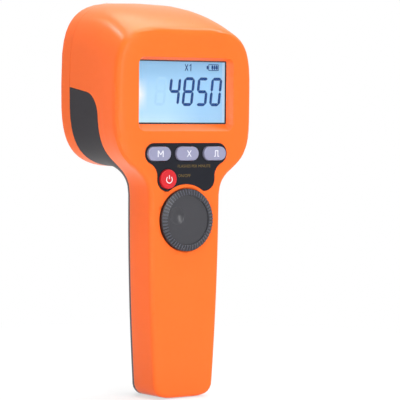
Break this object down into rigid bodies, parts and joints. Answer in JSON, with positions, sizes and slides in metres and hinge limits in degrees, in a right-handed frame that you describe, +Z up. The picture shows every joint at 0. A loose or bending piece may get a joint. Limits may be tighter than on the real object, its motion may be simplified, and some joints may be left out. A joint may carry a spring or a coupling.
{
  "type": "hand-held stroboscope",
  "caption": "Hand-held LED stroboscope: a straight grip under a head with a recessed display, a key panel, a ribbed speed knob and a square lamp at its far end.",
  "frame": {"origin": "centre of the mouth of the tripod socket, in the lower end of the grip", "axes": "+X to the right of someone reading the display, +Y from the display towards the lamp, +Z up the grip"},
  "size_m": [0.0938, 0.0663, 0.226],
  "materials": {
    "orange_plastic": "fine moulded texture",
    "dark_plastic": "fine moulded texture",
    "lens_clear": "clear, polished",
    "gasket_rubber": "matt",
    "reflector_metallised": "metallised plastic",
    "led_board_white": "white solder mask",
    "led_phosphor": "silicone dome",
    "sink_aluminium": "extruded",
    "screw_steel": "zinc plated",
    "window_clear": "clear, polished",
    "lcd_blue": "lit display",
    "backlight_white": "diffuser",
    "frame_plastic": "moulded",
    "zebra_rubber": "layered silicone",
    "panel_black": "printed film",
    "key_lavender": "satin",
    "key_red": "satin",
    "knob_grey": "satin",
    "switch_black": "moulded",
    "plunger_brown": "moulded",
    "board_green": "solder mask",
    "chip_black": "moulded",
    "capacitor_sleeve": "shrink sleeve",
    "encoder_case": "moulded",
    "shaft_steel": "turned",
    "cell_wrap": "shrink wrap over a metal can",
    "contact_plate": "nickel plated",
    "usb_shell": "nickel plated",
    "bush_brass": "turned",
    "lead_insulation": "insulation"
  },
  "bodies": {
    "case": {"front_shell": "orange_plastic", "rear_shell": "dark_plastic", "lamp_bezel": "orange_plastic", "lamp_lens": "lens_clear", "lens_gasket": "gasket_rubber", "reflector": "reflector_metallised", "led_board": "led_board_white", "leds": "led_phosphor", "heat_sink": "sink_aluminium", "module_screws": "screw_steel", "lamp_screws": "screw_steel", "display_window": "window_clear", "lcd_glass": "lcd_blue", "lcd_backlight": "backlight_white", "lcd_frame": "frame_plastic", "zebra_strips": "zebra_rubber", "keypad_panel": "panel_black", "switch_bodies": "switch_black", "main_board": "board_green", "board_chips": "chip_black", "storage_capacitor": "capacitor_sleeve", "board_screws": "screw_steel", "encoder_body": "encoder_case", "battery_cell": "cell_wrap", "battery_cradle": "chip_black", "battery_contacts": "contact_plate", "charge_board": "board_green", "usb_socket": "usb_shell", "usb_tongue": "switch_black", "case_screws": "screw_steel", "tripod_bush": "bush_brass", "lamp_leads": "lead_insulation", "battery_leads": "lead_insulation"},
    "mode_key": {"mode_key": "key_lavender", "mode_plunger": "plunger_brown"},
    "times_key": {"times_key": "key_lavender", "times_plunger": "plunger_brown"},
    "pulse_key": {"pulse_key": "key_lavender", "pulse_plunger": "plunger_brown"},
    "power_key": {"power_key": "key_red", "power_plunger": "plunger_brown"},
    "knob": {"speed_knob": "knob_grey", "encoder_shaft": "shaft_steel"}
  },
  "joints": [
    {"name": "mode_key_press", "type": "slide", "parent": "case", "child": "mode_key", "axis": [0, 1, 0], "range_m": [0, 0.001], "stiffness_N_per_m": 500, "springref_m": -0.0006},
    {"name": "times_key_press", "type": "slide", "parent": "case", "child": "times_key", "axis": [0, 1, 0], "range_m": [0, 0.001], "stiffness_N_per_m": 500, "springref_m": -0.0006},
    {"name": "pulse_key_press", "type": "slide", "parent": "case", "child": "pulse_key", "axis": [0, 1, 0], "range_m": [0, 0.001], "stiffness_N_per_m": 500, "springref_m": -0.0006},
    {"name": "power_key_press", "type": "slide", "parent": "case", "child": "power_key", "axis": [0, 1, 0], "range_m": [0, 0.001], "stiffness_N_per_m": 500, "springref_m": -0.0006},
    {"name": "knob_turn", "type": "hinge", "parent": "case", "child": "knob", "pos_m": [0, -0.011, 0.1015], "axis": [0, 1, 0], "continuous": true}
  ]
}
